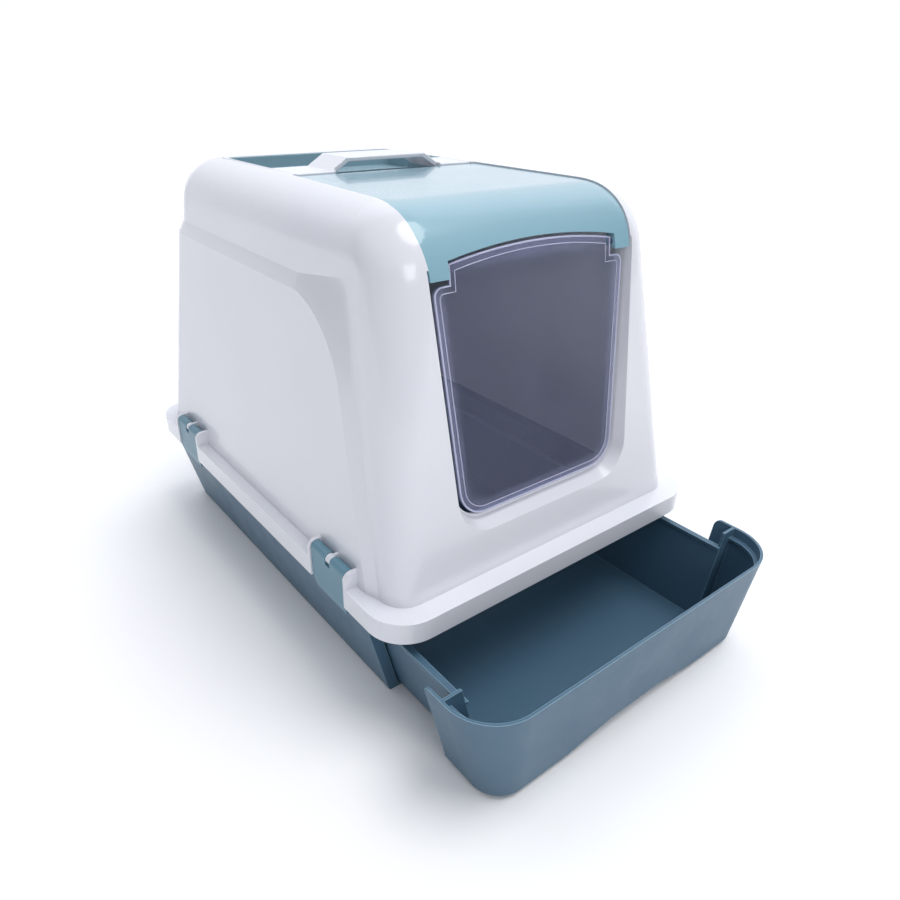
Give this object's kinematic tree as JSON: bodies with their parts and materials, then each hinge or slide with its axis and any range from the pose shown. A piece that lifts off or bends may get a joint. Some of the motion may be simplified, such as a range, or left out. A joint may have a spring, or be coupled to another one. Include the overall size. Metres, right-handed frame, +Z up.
{
  "type": "drawer litter box",
  "caption": "Hooded litter box for a cat, with a pull-out litter drawer, a hinged top lid with a swing door, clips and a carry handle.",
  "frame": {"origin": "centre of the base's underside, on the floor", "axes": "+Z up, -Y towards the entrance and the drawer's front, +X to the right of someone facing the rear"},
  "size_m": [0.39, 0.649, 0.44],
  "materials": {
    "base_plastic": "satin moulded",
    "grille_plastic": "satin moulded",
    "hood_plastic": "glossy moulded",
    "lid_plastic": "glossy moulded",
    "cover_plastic": "glossy moulded",
    "clip_plastic": "satin moulded",
    "door_plastic": "tinted clear moulded",
    "filter_felt": "felt"
  },
  "bodies": {
    "root": {"base_tray": "base_plastic", "entry_grille": "grille_plastic"},
    "drawer": {"drawer_tray": "base_plastic"},
    "hood": {"hood_shell": "hood_plastic", "carry_handle": "hood_plastic", "carbon_filter": "filter_felt"},
    "filter_lid": {"filter_cover": "cover_plastic"},
    "lid": {"top_flap": "lid_plastic"},
    "door": {"swing_door": "door_plastic"},
    "clip_front_left_body": {"clip_front_left": "clip_plastic"},
    "clip_front_right_body": {"clip_front_right": "clip_plastic"},
    "clip_rear_left_body": {"clip_rear_left": "clip_plastic"},
    "clip_rear_right_body": {"clip_rear_right": "clip_plastic"}
  },
  "joints": [
    {"name": "drawer_slide", "type": "slide", "parent": "root", "child": "drawer", "axis": [0, -1, 0], "range_m": [-0.11, 0.3]},
    {"name": "hood_lift", "type": "slide", "parent": "root", "child": "hood", "axis": [0, 0, 1], "range_m": [0, 0.3]},
    {"name": "filter_cover_lift", "type": "slide", "parent": "hood", "child": "filter_lid", "axis": [0, 0, 1], "range_m": [0, 0.05]},
    {"name": "flap_hinge", "type": "hinge", "parent": "hood", "child": "lid", "pos_m": [0, 0.004, 0.423], "axis": [-1, 0, 0], "range_deg": [0, 92]},
    {"name": "door_swing", "type": "hinge", "parent": "lid", "child": "door", "pos_m": [0, -0.201, 0.382], "axis": [1, 0, 0], "range_deg": [-70, 70]},
    {"name": "clip_front_left_hinge", "type": "hinge", "parent": "hood", "child": "clip_front_left_body", "pos_m": [-0.188, -0.165, 0.134], "axis": [0, 1, 0], "range_deg": [0, 110]},
    {"name": "clip_front_right_hinge", "type": "hinge", "parent": "hood", "child": "clip_front_right_body", "pos_m": [0.188, -0.165, 0.134], "axis": [0, -1, 0], "range_deg": [0, 110]},
    {"name": "clip_rear_left_hinge", "type": "hinge", "parent": "hood", "child": "clip_rear_left_body", "pos_m": [-0.188, 0.165, 0.134], "axis": [0, 1, 0], "range_deg": [0, 110]},
    {"name": "clip_rear_right_hinge", "type": "hinge", "parent": "hood", "child": "clip_rear_right_body", "pos_m": [0.188, 0.165, 0.134], "axis": [0, -1, 0], "range_deg": [0, 110]}
  ]
}
